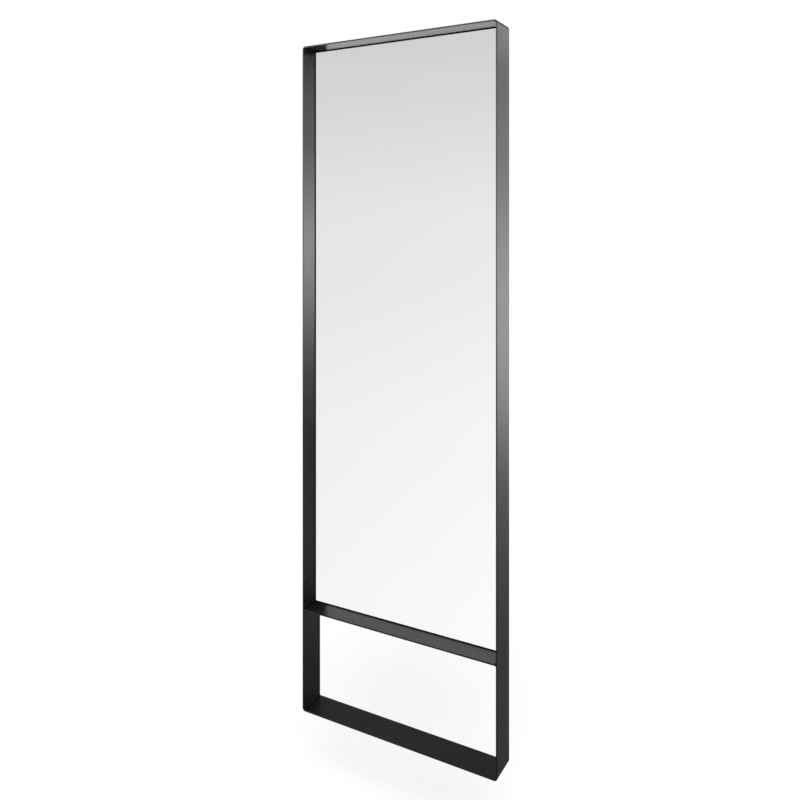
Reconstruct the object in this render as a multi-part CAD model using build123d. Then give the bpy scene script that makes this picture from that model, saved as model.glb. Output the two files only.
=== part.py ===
from build123d import *
import os

# Tall wall mirror. A pane is set deep inside a welded box frame of flat steel bar on edge. A cross rail
# of the same bar carries the pane, and the bay below the rail is open to the wall.
# Millimetres. +X is to the right seen from the front, +Y goes into the wall and +Z is up.
# The origin lies on the wall plane, midway between the entries of the two keyholes.

# Frame
WIDTH = 600.0
HEIGHT = 1800.0
DEPTH = 60.0
BAR = 4.0
BAY_HEIGHT = 268.0
CORNER_RADIUS = 9.0
BAR_EDGE_RADIUS = 0.5

# Welds: beads in the inside corners, hollow between their two legs
BEAD_SIZE = 4.5
BEAD_HOLLOW = 0.38
BEAD_FRONT_INSET = 1.5
BEAD_REAR_INSET = 4.0

# Pane and what lies behind it, from front to back
PANE = 4.0
PANE_GAP = 2.0
PANE_ARRIS = 0.8
PANE_CORNER = 1.5
FILM = 0.3
FILM_MARGIN = 4.0
TAPE = 1.0
TAPE_WIDTH = 25.0
TAPE_COUNT = 4
TAPE_END_MARGIN = 60.0
BOARD = 8.0
BOARD_GAP = 1.0
BOARD_CORNER = 5.0

# Setting blocks between the rail and the foot of the pane
BLOCK = 2.0
BLOCK_LENGTH = 60.0
BLOCK_COUNT = 2

# Tabs welded behind the board, and their screws
TAB = 2.0
TAB_WIDTH = 24.0
TAB_REACH = 24.0
TAB_BEVEL = 6.0
TAB_HOLE_FROM_BAR = 14.0
TAB_END_MARGIN = 160.0
UPRIGHT_TAB_COUNT = 3
BAR_TAB_COUNT = 2
SCREW_RADIUS = 1.75
SCREW_HEAD_RADIUS = 3.5
SCREW_HEAD = 2.2
SCREW_HEAD_BEVEL = 0.8
RECESS_LENGTH = 4.0
RECESS_WIDTH = 0.9
RECESS_DEPTH = 1.2
TAB_HOLE_CLEARANCE = 0.4
PILOT_CLEARANCE = 0.05
PILOT_END_CLEARANCE = 0.3
PILOT_FLOOR = 1.2
HEAD_TO_WALL = 0.5

# Keyhole hanger plates in the top corners, and the pockets behind them
HANGER = 2.5
HANGER_DROP = 32.0
HANGER_FROM_SIDE = 50.0
HANGER_MARGIN = 16.0
HANGER_CORNER = 6.0
KEY_ENTRY_RADIUS = 5.0
KEY_SLOT_RADIUS = 2.75
KEY_RISE = 10.0
POCKET_RADIUS = 8.0
POCKET_DEPTH = 5.0

# Bumpers on the board's back
BUMPER_RADIUS = 10.0
BUMPER_TOP_RADIUS = 8.5
BUMPER_INSET = 34.0

# Places worked out from the sizes above
side = WIDTH / 2
inner_side = side - BAR
top = HANGER_DROP
bottom = top - HEIGHT
top_inner = top - BAR
bottom_inner = bottom + BAR
rail_under = bottom_inner + BAY_HEIGHT
rail_top = rail_under + BAR
front = -DEPTH

board_back = -(TAB + SCREW_HEAD + HEAD_TO_WALL)
board_front = board_back - BOARD
tape_front = board_front - TAPE
film_front = tape_front - FILM
pane_front = film_front - PANE

panel_foot = rail_top + BLOCK
pane_side = inner_side - PANE_GAP
pane_top = top_inner - PANE_GAP
board_side = inner_side - BOARD_GAP
board_top = top_inner - BOARD_GAP
hanger_x = side - HANGER_FROM_SIDE
pilot_depth = BOARD - PILOT_FLOOR


def block(x, y, z):
    """A box from its low and high value along each axis."""
    middle = [(low + high) / 2 for low, high in (x, y, z)]
    size = [high - low for low, high in (x, y, z)]
    return Pos(*middle) * Box(*size)


def plate(sketch, y_back, y_front):
    """A sketch drawn in X and Z, made into a plate from y_back forward to y_front."""
    return extrude(Plane.XZ.offset(-y_back) * sketch, y_back - y_front, dir=(0, -1, 0))


def centred(x, z, width, height, radius):
    """A rectangle in X and Z with rounded corners."""
    return Pos(x, z) * RectangleRounded(width, height, radius)


def spread(low, high, count):
    """Evenly spaced values, each in the middle of its own share of the span."""
    step = (high - low) / count
    return [low + step * (i + 0.5) for i in range(count)]


def between(low, high, count):
    """Evenly spaced values with the first at low and the last at high."""
    return [low + (high - low) * i / (count - 1) for i in range(count)]


def facing(part, y):
    """The edges of a part that lie in the plane at y."""
    return part.edges().filter_by_position(Axis.Y, y, y)


def frame_ring():
    """The whole box frame as one loop of bar, with its outside corners ground round."""
    outer = centred(0, (top + bottom) / 2, WIDTH, HEIGHT, CORNER_RADIUS)
    inner = Pos(0, (top_inner + bottom_inner) / 2) * Rectangle(2 * inner_side, top_inner - bottom_inner)
    ring = plate(outer - inner, 0, front)
    return fillet(facing(ring, 0) + facing(ring, front), BAR_EDGE_RADIUS)


def mitred(ring, *corners):
    """The stretch of the frame inside a wedge, whose slanting sides are the mitre cuts."""
    return ring & plate(make_face(Polyline(*corners, close=True)), 0, front)


def frame_bars():
    """Two uprights, a top bar and a bottom bar, cut from the loop at 45 degrees in each corner."""
    ring = frame_ring()
    high, low = (0, top - side), (0, bottom + side)
    return {
        "left_upright": mitred(ring, (-side, top), high, low, (-side, bottom)),
        "right_upright": mitred(ring, (side, top), high, low, (side, bottom)),
        "top_bar": mitred(ring, (-side, top), (side, top), high),
        "bottom_bar": mitred(ring, (-side, bottom), (side, bottom), low),
    }


def cross_rail():
    """The rail between the uprights, flush with the frame at the front and back."""
    rail = block((-inner_side, inner_side), (front, 0), (rail_under, rail_top))
    long_edges = rail.edges().filter_by(Axis.X)
    return fillet(long_edges, BAR_EDGE_RADIUS)


def bead(x, z, across, up):
    """A weld bead along the depth, in the corner at x and z, with its legs running across and up."""
    foot, head = (x + across * BEAD_SIZE, z), (x, z + up * BEAD_SIZE)
    hollow = (x + across * BEAD_SIZE * BEAD_HOLLOW, z + up * BEAD_SIZE * BEAD_HOLLOW)
    outline = Polyline(head, (x, z), foot) + ThreePointArc(foot, hollow, head)
    return plate(make_face(outline), -BEAD_REAR_INSET, front + BEAD_FRONT_INSET)


def beads(levels):
    """A bead at both sides for each level, given as its height and the way its leg runs up or down."""
    return [bead(way * inner_side, z, -way, up) for z, up in levels for way in (-1, 1)]


def mirror_pane():
    """The silvered pane, with its edges ground to a fine arris."""
    outline = centred(0, (panel_foot + pane_top) / 2, 2 * pane_side, pane_top - panel_foot, PANE_CORNER)
    pane = plate(outline, pane_front + PANE, pane_front)
    return chamfer(facing(pane, pane_front) + facing(pane, pane_front + PANE), PANE_ARRIS)


def safety_film():
    """The film on the pane's back, held in from its edges."""
    x = pane_side - FILM_MARGIN
    return block((-x, x), (film_front, tape_front), (panel_foot + FILM_MARGIN, pane_top - FILM_MARGIN))


def mounting_tape():
    """Upright strips of double-sided tape between the film and the board."""
    z = (panel_foot + TAPE_END_MARGIN, pane_top - TAPE_END_MARGIN)
    half = TAPE_WIDTH / 2
    return [
        block((x - half, x + half), (tape_front, board_front), z)
        for x in spread(-pane_side, pane_side, TAPE_COUNT)
    ]


def keyhole(entry_radius, slot_radius):
    """Both keyhole outlines: a round entry with a slot rising from it."""
    slot = Pos(0, KEY_RISE / 2) * Rot(0, 0, 90) * SlotCenterToCenter(KEY_RISE, 2 * slot_radius)
    shape = slot + Circle(entry_radius)
    return [Pos(x, 0) * shape for x in (-hanger_x, hanger_x)]


def backing_board(screw_places):
    """The board behind the pane, with a pocket behind each keyhole and a pilot for each screw."""
    outline = centred(0, (panel_foot + board_top) / 2, 2 * board_side, board_top - panel_foot, BOARD_CORNER)
    board = plate(outline, board_back, board_front)
    for pocket in keyhole(POCKET_RADIUS, POCKET_RADIUS):
        board -= plate(pocket, board_back, board_back - POCKET_DEPTH)
    for x, z in screw_places:
        pilot = Pos(x, z) * Circle(SCREW_RADIUS + PILOT_CLEARANCE)
        board -= plate(pilot, board_back, board_back - pilot_depth)
    return board


def setting_blocks():
    """Blocks on the rail that carry the pane and the board."""
    half = BLOCK_LENGTH / 2
    return [
        block((x - half, x + half), (pane_front, board_back), (rail_top, panel_foot))
        for x in spread(-pane_side, pane_side, BLOCK_COUNT)
    ]


def tab(root_x, root_z, way_x, way_z):
    """A tab that reaches in from the bar at its root, the way given, with a bevelled end and a hole."""
    outline = Rectangle(TAB_REACH, TAB_WIDTH, align=(Align.MIN, Align.CENTER))
    outline = chamfer(outline.vertices().sort_by(Axis.X)[-2:], TAB_BEVEL)
    outline -= Pos(TAB_HOLE_FROM_BAR, 0) * Circle(SCREW_RADIUS + TAB_HOLE_CLEARANCE)
    turn = {(1, 0): 0, (0, 1): 90, (-1, 0): 180, (0, -1): 270}[way_x, way_z]
    return plate(Pos(root_x, root_z) * Rot(0, 0, turn) * outline, board_back + TAB, board_back)


def tab_rows():
    """Where the tabs of each bar stand: the place of each root and the way that the tab reaches."""
    heights = between(rail_top + TAB_END_MARGIN, top_inner - TAB_END_MARGIN, UPRIGHT_TAB_COUNT)
    places = spread(-pane_side, pane_side, BAR_TAB_COUNT)
    return {
        "left_tabs": [(-inner_side, z, 1, 0) for z in heights],
        "right_tabs": [(inner_side, z, -1, 0) for z in heights],
        "top_tabs": [(x, top_inner, 0, -1) for x in places],
        "rail_tabs": [(x, rail_top, 0, 1) for x in places],
    }


def screw(x, z):
    """A flat-topped screw driven from the back, with a bevelled head and a cross recess in it."""
    length = TAB + pilot_depth - PILOT_END_CLEARANCE
    head = Cylinder(SCREW_HEAD_RADIUS, SCREW_HEAD)
    head = chamfer(head.edges().sort_by(Axis.Z)[-1], SCREW_HEAD_BEVEL)
    shank = Pos(0, 0, -(SCREW_HEAD + length) / 2) * Cylinder(SCREW_RADIUS, length)
    recess = Pos(0, 0, (SCREW_HEAD - RECESS_DEPTH) / 2)
    cross = [recess * Rot(0, 0, turn) * Box(RECESS_LENGTH, RECESS_WIDTH, RECESS_DEPTH) for turn in (0, 90)]
    whole = head + shank - cross
    seat = board_back + TAB + SCREW_HEAD / 2
    return Pos(x, seat, z) * Rot(-90, 0, 0) * whole


def hanger_plates():
    """Plates that fill the top corners at the wall plane, each with a keyhole."""
    right, foot = side - HANGER_FROM_SIDE - HANGER_MARGIN, -HANGER_MARGIN
    plates = {}
    for name, way in (("left_hanger_plate", -1), ("right_hanger_plate", 1)):
        width, height = inner_side - right, top_inner - foot
        outline = Pos(way * (inner_side + right) / 2, (top_inner + foot) / 2) * Rectangle(width, height)
        free_corner = outline.vertices().sort_by_distance((way * right, foot))[0]
        outline = chamfer(free_corner, HANGER_CORNER)
        for hole in keyhole(KEY_ENTRY_RADIUS, KEY_SLOT_RADIUS):
            outline -= hole
        plates[name] = plate(outline, 0, -HANGER)
    return plates


def wall_bumpers():
    """Tapered bumpers from the board's back to the wall plane, near its lower corners."""
    height = -board_back
    z = panel_foot + BUMPER_INSET
    x = board_side - BUMPER_INSET
    bumper = Rot(-90, 0, 0) * Cone(BUMPER_RADIUS, BUMPER_TOP_RADIUS, height)
    return [Pos(way * x, board_back / 2, z) * bumper for way in (-1, 1)]


def nodes():
    """Every sub-part under its node's name."""
    rows = tab_rows()
    screw_places = [
        (x + way_x * TAB_HOLE_FROM_BAR, z + way_z * TAB_HOLE_FROM_BAR)
        for row in rows.values()
        for x, z, way_x, way_z in row
    ]
    return {
        **frame_bars(),
        "cross_rail": cross_rail(),
        "corner_welds": beads([(top_inner, -1), (bottom_inner, 1)]),
        "rail_welds": beads([(rail_top, 1), (rail_under, -1)]),
        "mirror_pane": mirror_pane(),
        "safety_film": safety_film(),
        "mounting_tape": mounting_tape(),
        "backing_board": backing_board(screw_places),
        "setting_blocks": setting_blocks(),
        **{name: [tab(*place) for place in row] for name, row in rows.items()},
        "panel_screws": [screw(x, z) for x, z in screw_places],
        **hanger_plates(),
        "wall_bumpers": wall_bumpers(),
    }


os.makedirs("parts", exist_ok=True)
for name, shape in nodes().items():
    solids = shape if isinstance(shape, list) else [shape]
    export_step(Compound(children=solids), f"parts/{name}.step")
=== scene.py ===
import math

import bpy
import mathutils
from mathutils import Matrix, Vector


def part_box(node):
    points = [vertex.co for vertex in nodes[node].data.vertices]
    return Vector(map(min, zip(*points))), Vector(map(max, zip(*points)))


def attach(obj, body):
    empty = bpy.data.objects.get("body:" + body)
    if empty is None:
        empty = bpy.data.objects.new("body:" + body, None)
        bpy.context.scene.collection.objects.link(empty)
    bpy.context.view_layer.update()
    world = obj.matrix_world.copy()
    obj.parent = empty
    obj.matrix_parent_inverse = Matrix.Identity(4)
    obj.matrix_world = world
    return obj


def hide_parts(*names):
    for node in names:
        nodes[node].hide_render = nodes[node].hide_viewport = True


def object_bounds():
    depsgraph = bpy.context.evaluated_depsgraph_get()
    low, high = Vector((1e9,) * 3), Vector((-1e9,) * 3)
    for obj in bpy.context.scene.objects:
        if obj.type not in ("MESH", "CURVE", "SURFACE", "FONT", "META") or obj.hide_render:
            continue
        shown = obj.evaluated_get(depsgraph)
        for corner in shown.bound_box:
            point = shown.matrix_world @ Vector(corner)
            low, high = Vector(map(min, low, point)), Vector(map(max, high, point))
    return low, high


# Looks for a tall wall mirror: a deep box frame of brushed dark steel, a silvered pane and its
# back. Metres, in the frame of the CAD model: +X right seen from the front, +Y into the wall
# and +Z up.

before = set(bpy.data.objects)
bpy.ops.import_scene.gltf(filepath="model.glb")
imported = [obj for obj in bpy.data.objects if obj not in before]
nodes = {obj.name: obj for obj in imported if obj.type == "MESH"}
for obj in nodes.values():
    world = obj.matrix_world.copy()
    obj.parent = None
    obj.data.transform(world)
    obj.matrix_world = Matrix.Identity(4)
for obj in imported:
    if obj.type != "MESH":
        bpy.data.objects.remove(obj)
cad_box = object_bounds()
bpy.ops.object.select_all(action="DESELECT")

MM = 0.001

# Places on the mirror, from its CAD nodes

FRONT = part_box("right_upright")[0].y
INNER_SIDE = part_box("right_upright")[0].x
UNDER_TOP_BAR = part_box("top_bar")[0].z
OVER_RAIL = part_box("cross_rail")[1].z
UNDER_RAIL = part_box("cross_rail")[0].z
OVER_BOTTOM_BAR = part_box("bottom_bar")[1].z
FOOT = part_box("bottom_bar")[0].z
PANE_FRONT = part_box("mirror_pane")[0].y


# Material building

# A mirror ray with fewer glossy bounces than this comes from the pane, seen directly
ONE_BOUNCE = 1.5

# The middle part of one noise value, and of two added together
NOISE_SPAN = (0.3, 0.7)
PAIR_SPAN = (0.7, 1.3)


class Shading:
    """A node tree, with short ways to add the nodes that a look or the studio needs."""

    def __init__(self, tree):
        self.tree = tree

    def node(self, kind, inputs=(), **settings):
        """A shader node with its settings, and its inputs linked or set by name or number."""
        made = self.tree.nodes.new("ShaderNode" + kind)
        for key, value in settings.items():
            setattr(made, key, value)
        for key, value in dict(inputs).items():
            if isinstance(value, bpy.types.NodeSocket):
                self.tree.links.new(value, made.inputs[key])
            else:
                made.inputs[key].default_value = value
        return made

    def show(self, shader):
        """Makes a shader the material's surface."""
        self.tree.links.new(shader, self.tree.nodes["Material Output"].inputs["Surface"])

    def maths(self, operation, first, second):
        """A value worked out from two others."""
        return self.node("Math", {0: first, 1: second}, operation=operation).outputs[0]

    def range(self, value, low, high, out_low=0.0, out_high=1.0):
        """A value carried from one range to another and held inside it."""
        inputs = {"Value": value, 1: low, 2: high, 3: out_low, 4: out_high}
        return self.node("MapRange", inputs).outputs[0]

    def colour(self, share, first, second):
        """A colour between two others."""
        return self.node("Mix", {0: share, 6: first, 7: second}, data_type="RGBA").outputs[2]


class Look(Shading):
    """A Principled material, with short ways to add the patterns that it shows."""

    def __init__(self, name, **plain):
        self.material = bpy.data.materials.new(name)
        self.material.use_nodes = True
        super().__init__(self.material.node_tree)
        self.shader = self.tree.nodes["Principled BSDF"]
        self.place = self.node("TexCoord").outputs["Object"]
        for socket, value in plain.items():
            self.shader.inputs[socket.replace("_", " ")].default_value = value

    def feed(self, socket, value):
        """Links an output to one of the shader's own sockets."""
        self.tree.links.new(value, self.shader.inputs[socket])

    def stretched(self, scale):
        """The object's coordinates with each axis scaled, so that a pattern stretches along one."""
        return self.node("Mapping", {0: self.place, "Scale": scale}).outputs[0]

    def noise(self, vector, scale=1.0, detail=3.0, roughness=0.5, distortion=0.0):
        """A noise value from 0 to 1 about its middle."""
        inputs = {"Vector": vector, "Scale": scale, "Detail": detail, "Roughness": roughness,
                  "Distortion": distortion}
        return self.node("TexNoise", inputs).outputs["Fac"]

    def blend(self, *shares):
        """The sum of values, each taken by its share."""
        parts = [self.maths("MULTIPLY", value, share) for value, share in shares]
        total = parts[0]
        for part in parts[1:]:
            total = self.maths("ADD", total, part)
        return total

    def paint(self, share, first, second):
        """A base colour between two others."""
        self.feed("Base Color", self.colour(share, first, second))

    def roughen(self, value, span, least, most):
        """A roughness that goes from least to most while a noise value crosses its span."""
        self.feed("Roughness", self.range(value, *span, least, most))

    def bump(self, height, strength, distance):
        """A bump map on the shader's normal."""
        inputs = {"Height": height, "Strength": strength, "Distance": distance}
        self.feed("Normal", self.node("Bump", inputs).outputs[0])

    def pass_mirror_rays(self):
        """Keeps the steel out of the pane's own picture, which shows only the pale studio."""
        steel = self.shader.outputs[0]
        clear = self.node("BsdfTransparent").outputs[0]
        ray = self.node("LightPath").outputs
        first = self.maths("LESS_THAN", ray["Glossy Depth"], ONE_BOUNCE)
        in_pane = self.node("MixShader", {0: first, 1: steel, 2: clear}).outputs[0]
        both = self.node("MixShader", {0: ray["Is Singular Ray"], 1: steel, 2: in_pane})
        self.show(both.outputs[0])


def grey(level):
    """A neutral linear colour."""
    return (level, level, level, 1.0)


# Materials, whose pattern scales count features in a metre

STEEL_TONE = 0.17

# Shares of the steel's tone, in its streaks and in the painted shade on its front edges
STREAK_DARK, STREAK_PALE = 0.92, 1.08
EDGE_SHADE_DEEP, EDGE_SHADE_FAINT = 0.12, 0.8

# The front edges carry painted shade, deepest below one height and faintest above another, which
# gives way to the faces' tone just behind the front
EDGE_SHADE_TO, FACE_TONE_FROM = FRONT + 0.1 * MM, FRONT + 0.4 * MM
EDGE_SHADE_DEEP_BELOW, EDGE_SHADE_FAINT_ABOVE = -1.0, -0.7

# The ground arris starts just behind the pane's face
ARRIS = PANE_FRONT + 0.02 * MM


def drawn_out(across, along, axis):
    """The scale of a pattern that is coarser along one axis."""
    scale = [across, across, across]
    scale[axis] = along
    return scale


def brushed_steel(name, along):
    """Dark satin steel, streaked one way and a little cloudy, with painted shade on its front
    edges, deeper to the foot.
    """
    look = Look(name, Metallic=0.97, Anisotropic=0.6, Anisotropic_Rotation=0.25)
    axis = "XYZ".index(along)
    fine = look.stretched(drawn_out(900.0, 9.0, axis))
    broad = look.stretched(drawn_out(170.0, 2.5, axis))
    streaks = look.noise(fine, detail=4.0, roughness=0.6)
    bands = look.noise(broad)
    clouds = look.noise(look.place, scale=9.0, detail=4.0, roughness=0.55, distortion=0.4)
    tone = look.range(look.blend((streaks, 0.5), (bands, 0.3), (clouds, 0.2)), 0.38, 0.62)
    face = look.colour(tone, grey(STEEL_TONE * STREAK_DARK), grey(STEEL_TONE * STREAK_PALE))
    spot = look.node("SeparateXYZ", {0: look.place}).outputs
    # Painted shade on the front edges: deepest towards the foot, faintest near the top
    height = look.range(spot["Z"], EDGE_SHADE_DEEP_BELOW, EDGE_SHADE_FAINT_ABOVE)
    edge = look.colour(height, grey(STEEL_TONE * EDGE_SHADE_DEEP), grey(STEEL_TONE * EDGE_SHADE_FAINT))
    # The painted edge shade holds on the front edges and gives way to the face tone just behind
    # them
    front_edge_shade_mask = look.range(spot["Y"], EDGE_SHADE_TO, FACE_TONE_FROM, 1.0, 0.0)
    look.paint(front_edge_shade_mask, face, edge)
    look.roughen(look.maths("ADD", streaks, clouds), PAIR_SPAN, 0.23, 0.31)
    look.bump(streaks, strength=0.07, distance=0.2 * MM)
    way = {number: float(number == axis) for number in range(3)}
    look.feed("Tangent", look.node("CombineXYZ", way).outputs[0])
    look.pass_mirror_rays()
    return look.material


def weld_steel():
    """Darker weld metal, dull where the heat took its shine, with a fine grain."""
    look = Look("weld_steel_look", Metallic=1.0)
    grain = look.noise(look.place, scale=1400.0, detail=4.0, roughness=0.6)
    heat = look.noise(look.place, scale=160.0, detail=2.0)
    tone = look.range(look.maths("ADD", grain, heat), *PAIR_SPAN)
    look.paint(tone, grey(0.022), grey(0.046))
    look.roughen(grain, NOISE_SPAN, 0.5, 0.66)
    look.bump(grain, strength=0.25, distance=0.1 * MM)
    look.pass_mirror_rays()
    return look.material


def silvered_glass():
    """The pane: a sharp silver face, and green-tinged ground glass on its arris and edges, painted
    near black as shade.
    """
    look = Look("silvered_glass", Metallic=1.0)
    depth = look.node("SeparateXYZ", {0: look.place}).outputs["Y"]
    edge = look.maths("GREATER_THAN", depth, ARRIS)
    grain = look.noise(look.place, scale=700.0, roughness=0.6)
    # The ground glass's green tone is painted near black, as painted shade in the gap beside the
    # frame
    shaded_ground_glass = look.colour(grain, (0.006, 0.009, 0.008, 1), (0.016, 0.022, 0.020, 1))
    wash = look.noise(look.place, scale=3.0, detail=1.0)
    silver = look.colour(wash, (0.934, 0.936, 0.935, 1), (0.941, 0.942, 0.941, 1))
    look.paint(edge, silver, shaded_ground_glass)
    look.feed("Metallic", look.maths("SUBTRACT", 1.0, edge))
    ground_roughness = look.range(grain, *NOISE_SPAN, 0.25, 0.45)
    look.feed("Roughness", look.maths("MULTIPLY", edge, ground_roughness))
    return look.material


def black_board():
    """Through-coloured fibreboard, with pressed fibres and a matt face."""
    look = Look("black_fibreboard", Specular_IOR_Level=0.35)
    grain_way = look.stretched((260.0, 700.0, 90.0))
    fibres = look.noise(grain_way, detail=5.0, roughness=0.65, distortion=0.8)
    flecks = look.noise(look.place, scale=900.0, detail=2.0, roughness=0.7)
    tone = look.blend((fibres, 0.6), (flecks, 0.4))
    look.paint(look.range(tone, 0.36, 0.66), grey(0.022), grey(0.062))
    look.roughen(fibres, NOISE_SPAN, 0.62, 0.86)
    look.bump(tone, strength=0.35, distance=0.3 * MM)
    return look.material


def black_rubber():
    """Moulded rubber, faintly dusty."""
    look = Look("black_rubber", Specular_IOR_Level=0.4)
    pores = look.noise(look.place, scale=1600.0, roughness=0.6)
    dust = look.noise(look.place, scale=120.0, roughness=0.55)
    look.paint(look.range(dust, 0.35, 0.7), grey(0.022), grey(0.048))
    look.roughen(pores, NOISE_SPAN, 0.55, 0.8)
    look.bump(pores, strength=0.3, distance=0.2 * MM)
    return look.material


def safety_film():
    """Grey film with a fine woven grain."""
    look = Look("grey_film")
    weave = look.noise(look.place, scale=1500.0, detail=2.0)
    wave = look.noise(look.place, scale=25.0, detail=2.0)
    look.paint(weave, (0.28, 0.30, 0.32, 1), (0.36, 0.38, 0.40, 1))
    look.roughen(wave, NOISE_SPAN, 0.4, 0.55)
    look.bump(weave, strength=0.2, distance=0.1 * MM)
    return look.material


def foam_tape():
    """White closed-cell foam tape."""
    look = Look("foam_tape")
    cells = look.noise(look.place, scale=1800.0, detail=2.0, roughness=0.6)
    look.paint(cells, (0.76, 0.76, 0.73, 1), (0.88, 0.88, 0.86, 1))
    look.roughen(cells, NOISE_SPAN, 0.7, 0.9)
    look.bump(cells, strength=0.4, distance=0.2 * MM)
    return look.material


def zinc_plate():
    """Zinc-plated screws, with a faint patchy film."""
    look = Look("zinc_plate", Metallic=1.0)
    patches = look.noise(look.place, scale=420.0, detail=4.0, roughness=0.6)
    look.paint(patches, (0.46, 0.46, 0.43, 1), (0.62, 0.62, 0.62, 1))
    look.roughen(patches, NOISE_SPAN, 0.24, 0.42)
    look.bump(patches, strength=0.15, distance=0.1 * MM)
    return look.material


def dress(look, *names):
    """Gives CAD nodes a look in all their material slots."""
    for name in names:
        slots = nodes[name].material_slots
        if not slots:
            nodes[name].data.materials.append(look)
        for slot in slots:
            slot.material = look


# Weld beads, modelled as a long and a short run of ripples and copied to every joint

# The hollow face is part of a circle, whose middle lies this far from both bars
ROUND_OFFSET = 6.667 * MM
ROUND_RADIUS = 7.12 * MM
ROUND_POINTS = 60

# Turns about that middle, in degrees, from the toe on one bar to the toe on the other
FIRST_TURN, MIDDLE_TURN, LAST_TURN, TURN_STEP = 18, 45, 72, 6
TURN_SLACK = 1

# The steps of one ripple: their share of its pitch, and the circle's size after each
RIPPLE_PITCH = 1.9 * MM
RIPPLE_STEPS = ((0.15, 0.975), (0.30, 0.965), (0.35, 0.972), (0.20, 1.0))

# The middle of a ripple runs this far ahead of its toes, so more ripples are made than fit
RIPPLE_LEAD = 0.8 * MM
SPARE_RIPPLES = 2

MERGE = 0.02 * MM
SMOOTH_UNDER = math.radians(40)

# The beads in the frame are as long as the plain ones that they replace
BEADS_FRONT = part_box("corner_welds")[0].y
BEADS_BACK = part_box("corner_welds")[1].y

# The small beads behind the tabs' roots, by the middles of the tabs
TAB_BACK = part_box("left_tabs")[1].y
TAB_HEIGHTS = (-1332 * MM, -732 * MM, -132 * MM)
TAB_SIDE = 147 * MM
ROOT_BEAD_HALF = 10 * MM
ROOT_BEAD_SIZE = 0.45


def turn(place):
    """A point's turn about the middle of the bead's circle, in degrees."""
    return math.degrees(math.atan2(ROUND_OFFSET - place.x, ROUND_OFFSET - place.z))


def pick(piece, kind, wanted):
    """In edit mode, selects only the vertices whose place, or edges whose ends, are wanted."""
    bpy.ops.mesh.select_all(action="DESELECT")
    bpy.ops.object.mode_set(mode="OBJECT")
    mesh = piece.data
    for item in getattr(mesh, kind):
        if kind == "vertices":
            item.select = wanted(item.co)
        else:
            item.select = all(wanted(mesh.vertices[i].co) for i in item.vertices)
    bpy.ops.object.mode_set(mode="EDIT")


def face_outwards():
    """In edit mode, turns all faces of the piece outwards."""
    bpy.ops.mesh.select_all(action="SELECT")
    bpy.ops.mesh.normals_make_consistent(inside=False)


def hollow_line(name):
    """The line across a bead's hollow face, cut from a circle, one ripple before the start."""
    bpy.ops.mesh.primitive_circle_add(
        vertices=ROUND_POINTS, radius=ROUND_RADIUS, rotation=(math.radians(90), 0, 0),
        location=(ROUND_OFFSET, -RIPPLE_PITCH, ROUND_OFFSET))
    bead = bpy.context.object
    bead.name = name
    bpy.ops.object.transform_apply(location=True, rotation=True, scale=True)
    bpy.ops.object.mode_set(mode="EDIT")
    bpy.ops.mesh.select_mode(type="VERT")
    first, last = FIRST_TURN - TURN_SLACK, LAST_TURN + TURN_SLACK
    pick(bead, "vertices", lambda place: not first < turn(place) < last)
    bpy.ops.mesh.delete(type="VERT")
    return bead


def one_ripple(bead):
    """Extrudes the line over one ripple, then moves its middle ahead of its toes."""
    middle = (ROUND_OFFSET, 0, ROUND_OFFSET)
    bpy.ops.mesh.select_mode(type="EDGE")
    bpy.ops.mesh.select_all(action="SELECT")
    size_before = 1.0
    for share, size in RIPPLE_STEPS:
        step = {"value": (0, share * RIPPLE_PITCH, 0)}
        bpy.ops.mesh.extrude_edges_move(TRANSFORM_OT_translate=step)
        scale = (size / size_before, 1, size / size_before)
        bpy.ops.transform.resize(value=scale, center_override=middle)
        size_before = size
    bpy.ops.mesh.select_mode(type="VERT")
    for column in range(FIRST_TURN, LAST_TURN + 1, TURN_STEP):
        pick(bead, "vertices", lambda place: abs(turn(place) - column) < TURN_SLACK)
        from_middle = (column - MIDDLE_TURN) / (LAST_TURN - MIDDLE_TURN)
        lead = RIPPLE_LEAD * (1 - from_middle ** 2)
        bpy.ops.transform.translate(value=(0, lead, 0))


def close_to_corner(bead):
    """Takes both toes back to the line where the bars meet, so that the bead has a body."""
    bpy.ops.mesh.select_mode(type="EDGE")
    first, last = FIRST_TURN + TURN_SLACK, LAST_TURN - TURN_SLACK
    pick(bead, "edges", lambda place: not first <= turn(place) <= last)
    bpy.ops.mesh.extrude_edges_move(TRANSFORM_OT_translate={"value": (0, 0, 0)})
    bpy.ops.transform.resize(value=(0, 1, 0), center_override=(0, 0, 0))
    bpy.ops.mesh.select_all(action="SELECT")
    bpy.ops.mesh.remove_doubles(threshold=MERGE)
    bpy.ops.object.mode_set(mode="OBJECT")


def repeat_ripple(bead, length):
    """Lines up enough ripples for the length, and cuts both ends flat and closed."""
    row = bead.modifiers.new("ripples", "ARRAY")
    row.count = math.ceil(length / RIPPLE_PITCH) + SPARE_RIPPLES
    row.use_relative_offset = False
    row.use_constant_offset = True
    row.constant_offset_displace = (0, RIPPLE_PITCH, 0)
    row.use_merge_vertices = True
    row.merge_threshold = MERGE
    bpy.ops.object.modifier_apply(modifier=row.name)
    bpy.ops.object.mode_set(mode="EDIT")
    for place, way in ((0, -1), (length, 1)):
        bpy.ops.mesh.select_all(action="SELECT")
        bpy.ops.mesh.bisect(plane_co=(0, place, 0), plane_no=(0, way, 0), use_fill=True,
                            clear_outer=True)
    face_outwards()
    bpy.ops.object.mode_set(mode="OBJECT")


def weld_run(name, length):
    """A hollow-faced bead in the corner of X = 0 and Z = 0, along +Y, with curved ripples."""
    bead = hollow_line(name)
    one_ripple(bead)
    close_to_corner(bead)
    repeat_ripple(bead, length)
    return bead


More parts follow.
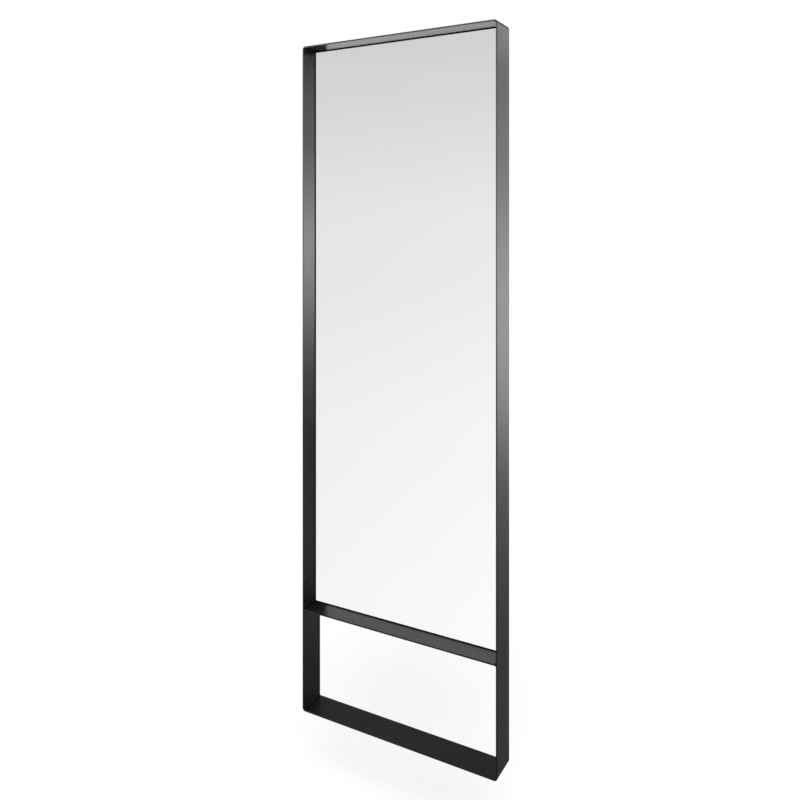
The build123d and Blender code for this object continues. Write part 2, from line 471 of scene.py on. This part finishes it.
def copy_run(run, columns, corner, size=1.0):
    """A copy with its own mesh: columns say where the run's own X, Y and Z go in the mirror."""
    bead = run.copy()
    bead.data = run.data.copy()
    bpy.context.scene.collection.objects.link(bead)
    turned = mathutils.Matrix(columns).transposed() * size
    bead.matrix_world = mathutils.Matrix.Translation(corner) @ turned.to_4x4()
    return bead


def join_runs(name, runs, *replaced):
    """One piece from copies, with its place in its mesh and its faces outwards."""
    bpy.ops.object.select_all(action="DESELECT")
    for run in runs:
        run.select_set(True)
    bpy.context.view_layer.objects.active = runs[0]
    bpy.ops.object.join()
    piece = bpy.context.object
    piece.name = name
    bpy.ops.object.transform_apply(location=True, rotation=True, scale=True)
    bpy.ops.object.mode_set(mode="EDIT")
    face_outwards()
    bpy.ops.object.mode_set(mode="OBJECT")
    bpy.ops.object.shade_smooth_by_angle(angle=SMOOTH_UNDER)
    piece.data.materials.append(weld_look)
    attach(piece, "root")
    if replaced:
        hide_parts(*replaced)
    return piece


def frame_beads():
    """The beads inside the frame's corners, and over and under the rail at both its ends."""
    run = weld_run("long_run", BEADS_BACK - BEADS_FRONT)
    for name, replaced, joints in (
            ("corner_beads", "corner_welds", ((UNDER_TOP_BAR, -1), (OVER_BOTTOM_BAR, 1))),
            ("rail_beads", "rail_welds", ((OVER_RAIL, 1), (UNDER_RAIL, -1)))):
        beads = []
        for side in (-1, 1):
            for height, rise in joints:
                axes = ((-side, 0, 0), (0, 1, 0), (0, 0, rise))
                beads.append(copy_run(run, axes, (side * INNER_SIDE, BEADS_FRONT, height)))
        join_runs(name, beads, replaced)
    bpy.data.objects.remove(run)


def tab_beads():
    """Short beads behind the tabs, where they meet the uprights, the top bar and the rail."""
    run = weld_run("short_run", 2 * ROOT_BEAD_HALF / ROOT_BEAD_SIZE)
    roots = []
    for side in (-1, 1):
        for height in TAB_HEIGHTS:
            axes = ((-side, 0, 0), (0, 0, 1), (0, 1, 0))
            corner = (side * INNER_SIDE, TAB_BACK, height - ROOT_BEAD_HALF)
            roots.append(copy_run(run, axes, corner, ROOT_BEAD_SIZE))
        for height, rise in ((UNDER_TOP_BAR, -1), (OVER_RAIL, 1)):
            axes = ((0, 0, rise), (1, 0, 0), (0, 1, 0))
            corner = (side * TAB_SIDE - ROOT_BEAD_HALF, TAB_BACK, height)
            roots.append(copy_run(run, axes, corner, ROOT_BEAD_SIZE))
    join_runs("tab_root_beads", roots)
    bpy.data.objects.remove(run)


weld_look = weld_steel()
frame_beads()
tab_beads()

# Looks on the CAD nodes

dress(brushed_steel("upright_steel", "Z"), "left_upright", "right_upright")
dress(brushed_steel("crossbar_steel", "X"), "top_bar", "bottom_bar", "cross_rail")
dress(weld_look, "corner_welds", "rail_welds")
dress(silvered_glass(), "mirror_pane")
dress(safety_film(), "safety_film")
dress(foam_tape(), "mounting_tape")
dress(black_board(), "backing_board")
dress(black_rubber(), "setting_blocks", "wall_bumpers")
dress(brushed_steel("tab_steel_look", "X"), "left_tabs", "right_tabs", "top_tabs", "rail_tabs",
      "left_hanger_plate", "right_hanger_plate")
dress(zinc_plate(), "panel_screws")


# Floor, which keeps the mirror's soft shadow

FLOOR_SIZE = 40
FLOOR_BELOW = 0.2
FLOOR_TONE = 0.9
FLOOR_WHITE = 0.98
FLOOR_WHITE_SHARE = 0.6


def floor():
    """A pale floor some way below the mirror, partly plain white to the camera."""
    bpy.ops.mesh.primitive_plane_add(size=FLOOR_SIZE, location=(0, 0, FOOT - FLOOR_BELOW))
    plane = bpy.context.object
    plane.name = "floor"
    material = bpy.data.materials.new("pale_floor")
    material.use_nodes = True
    pale = Shading(material.node_tree)
    pale.tree.nodes.remove(pale.tree.nodes["Principled BSDF"])
    matt = pale.node("BsdfDiffuse", {"Color": grey(FLOOR_TONE)}).outputs[0]
    white = pale.node("Emission", {"Strength": FLOOR_WHITE}).outputs[0]
    seen = pale.node("LightPath").outputs["Is Camera Ray"]
    share = pale.maths("MULTIPLY", seen, FLOOR_WHITE_SHARE)
    pale.show(pale.node("MixShader", {0: share, 1: matt, 2: white}).outputs[0])
    plane.data.materials.append(material)
    plane.visible_glossy = False


# Studio that the steel and the pane reflect

# Each side's brightness, by the rise of the ray that meets it
ROOM_LOW, ROOM_HIGH = -0.7, 0.7
RIGHT_FRONT = (
    (-0.62, 0.025), (-0.50, 0.015), (-0.43, 0.11), (-0.33, 0.115), (-0.22, 0.205), (-0.13, 0.82),
    (-0.03, 2.01), (0.05, 1.53), (0.12, 0.48), (0.16, 0.63), (0.19, 0.93), (0.21, 0.69),
    (0.225, 0.14), (0.24, 0.03), (0.50, 0.03))
RIGHT_BACK = (
    (-0.62, 0.37), (-0.54, 0.285), (-0.45, 0.35), (-0.38, 0.48), (-0.32, 0.80), (-0.25, 1.49),
    (-0.18, 1.71), (-0.10, 1.735), (0.05, 1.155), (0.13, 0.94), (0.20, 0.86), (0.26, 0.70),
    (0.29, 1.52), (0.36, 1.60), (0.46, 0.20))
LEFT_FRONT = (
    (-0.62, 0.50), (-0.46, 1.30), (-0.36, 2.40), (-0.31, 1.42), (-0.27, 0.75), (-0.20, 0.60),
    (-0.10, 1.00), (0.00, 0.90), (0.10, 0.80), (0.20, 0.75), (0.34, 0.62), (0.45, 0.47),
    (0.55, 0.49), (0.64, 0.48))
LEFT_BACK = (
    (-0.62, 0.20), (-0.36, 0.75), (-0.30, 0.55), (-0.24, 0.34), (-0.10, 0.45), (0.05, 0.55),
    (0.20, 0.45), (0.34, 0.24), (0.45, 0.12), (0.55, 0.065), (0.64, 0.06))
IN_PANE = (
    (-0.70, 0.99), (-0.46, 0.965), (-0.36, 0.945), (-0.24, 0.92), (-0.10, 0.865), (0.05, 0.825),
    (0.19, 0.725), (0.25, 0.685), (0.45, 0.55), (0.70, 0.42))

# Faint tints of the sides
VIOLET_TINT = (0.99, 0.98, 1.05)
WARM_TINT = (1.01, 1.0, 0.985)
GREEN_TINT = (0.99, 1.01, 1.0)
NO_TINT = (1.0, 1.0, 1.0)

# Where one side gives way to the next, by the ray's X or Y
LEFT_TO_RIGHT = (-0.15, 0.15)
LEFT_FRONT_TO_BACK = (-0.3, 0.5)
RIGHT_FRONT_TO_BACK = (0.6, 0.83)

# The pane's picture is a little brighter to the right
PANE_ACROSS = (-0.7, -0.4)
PANE_LEVELS = (0.985, 1.055)

# The plain grey that lights matt surfaces
MATT_LEVEL = 0.8


class Studio(Shading):
    """The world: white to the camera, plain on matt surfaces, and graded in reflections."""

    def __init__(self):
        world = bpy.data.worlds.new("studio")
        bpy.context.scene.world = world
        world.use_nodes = True
        world.cycles.sampling_method = "NONE"
        super().__init__(world.node_tree)
        way = self.node("SeparateXYZ", {0: self.node("TexCoord").outputs["Generated"]}).outputs
        rise = self.range(way["Z"], ROOM_LOW, ROOM_HIGH)
        path = self.node("LightPath").outputs
        first = self.maths("LESS_THAN", path["Glossy Depth"], ONE_BOUNCE)
        seen_in_pane = self.maths("MULTIPLY", path["Is Singular Ray"], first)
        colour = self.colour(path["Is Glossy Ray"], grey(MATT_LEVEL), self.on_steel(way, rise))
        colour = self.colour(seen_in_pane, colour, self.in_pane(way, rise))
        for ray in ("Is Camera Ray", "Is Transmission Ray"):
            colour = self.colour(path[ray], colour, grey(1))
        self.tree.links.new(colour, self.tree.nodes["Background"].inputs["Color"])

    def on_steel(self, way, rise):
        """The studio that the steel reflects, with its four sides blended by direction."""
        left = self.colour(self.range(way["Y"], *LEFT_FRONT_TO_BACK),
                           self.profile(rise, LEFT_FRONT, GREEN_TINT),
                           self.profile(rise, LEFT_BACK, NO_TINT))
        right = self.colour(self.range(way["Y"], *RIGHT_FRONT_TO_BACK),
                            self.profile(rise, RIGHT_FRONT, VIOLET_TINT),
                            self.profile(rise, RIGHT_BACK, WARM_TINT))
        return self.colour(self.range(way["X"], *LEFT_TO_RIGHT), left, right)

    def in_pane(self, way, rise):
        """The pale gradient that the pane itself shows."""
        level = self.range(way["X"], *PANE_ACROSS, *PANE_LEVELS)
        return self.brighter(self.profile(rise, IN_PANE, NO_TINT), level)

    def brighter(self, colour, times):
        """A colour made so many times as bright."""
        return self.node("VectorMath", {0: colour, "Scale": times}, operation="SCALE").outputs[0]

    def profile(self, rise, rows, tint):
        """The brightness of one side of the studio by the rise of the ray."""
        made = self.node("ValToRGB", {0: rise})
        made.color_ramp.interpolation = "CARDINAL"
        most = max(level for _, level in rows)
        elements = made.color_ramp.elements
        while len(elements) < len(rows):
            elements.new(1.0)
        for element, (place, level) in zip(elements, rows):
            element.position = (place - ROOM_LOW) / (ROOM_HIGH - ROOM_LOW)
            element.color = [level / most * share for share in tint] + [1.0]
        return self.brighter(made.outputs[0], most)


# Lamps: a wide soft key over the camera, which drops the soft shadow, and a disk behind the mirror

LAMPS = (
    ("key", "SUN", (1.5, -2.0, 3.4), {"energy": 1.5, "angle": math.radians(36)}),
    ("back_fill", "AREA", (-1.8, 2.4, 1.2), {"energy": 22.0, "shape": "DISK", "size": 2.4}))


def lamps():
    """The two lamps, aimed at the middle of the mirror and hidden from reflections."""
    middle = (cad_box[0] + cad_box[1]) / 2
    for name, kind, place, settings in LAMPS:
        data = bpy.data.lights.new(name, kind)
        for key, value in settings.items():
            setattr(data, key, value)
        lamp = bpy.data.objects.new(name, data)
        bpy.context.scene.collection.objects.link(lamp)
        lamp.location = place
        lamp.rotation_euler = (middle - lamp.location).to_track_quat("-Z", "Y").to_euler()
        lamp.visible_glossy = False


# Camera

EYE = (1.039, -1.385, -0.4728)
EYE_TURN = math.radians(22.15)


def camera():
    """A level camera to the mirror's right, with the picture's centre shifted left and down."""
    data = bpy.data.cameras.new("camera")
    data.sensor_fit = "VERTICAL"
    data.sensor_width = 19.5
    data.sensor_height = 36.0
    data.lens = 28.75
    data.shift_x = -0.2196
    data.shift_y = -0.2089
    eye = bpy.data.objects.new("camera", data)
    bpy.context.scene.collection.objects.link(eye)
    eye.location = EYE
    eye.rotation_euler = (math.radians(90), 0.0, EYE_TURN)
    bpy.context.scene.camera = eye


floor()
Studio()
lamps()
camera()
bpy.context.scene.view_settings.view_transform = "Standard"
